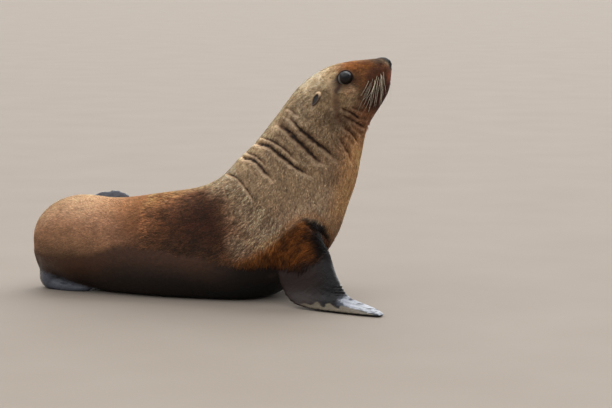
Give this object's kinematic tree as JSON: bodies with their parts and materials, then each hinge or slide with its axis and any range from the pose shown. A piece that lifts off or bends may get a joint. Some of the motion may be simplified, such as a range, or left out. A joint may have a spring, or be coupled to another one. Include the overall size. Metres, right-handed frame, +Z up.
{
  "type": "sea lion",
  "caption": "Young sea lion sitting up on its fore flippers with its head raised, as a still life-size model for display",
  "frame": {"origin": "middle of the base of the bounding box, on the floor", "axes": "+X from the rump toward the head, +Y to the animal's left, +Z up"},
  "size_m": [1.0324, 0.6562, 0.6286],
  "materials": {
    "coat": "short brown fur, dry on the back and neck, dark and wet along the belly",
    "bare_skin": "bare dark flipper skin, wet, with sand dried on the fore flipper",
    "eye": "very dark brown eye with a wet shine"
  },
  "bodies": {
    "root": {"head": "coat", "neck": "coat", "chest": "coat", "abdomen": "coat", "rump": "coat", "tail": "coat", "right_fore_flipper": "bare_skin", "left_fore_flipper": "bare_skin", "right_hind_flipper": "bare_skin", "left_hind_flipper": "bare_skin", "right_ear": "coat", "left_ear": "coat", "right_eye": "eye", "left_eye": "eye"}
  },
  "joints": []
}
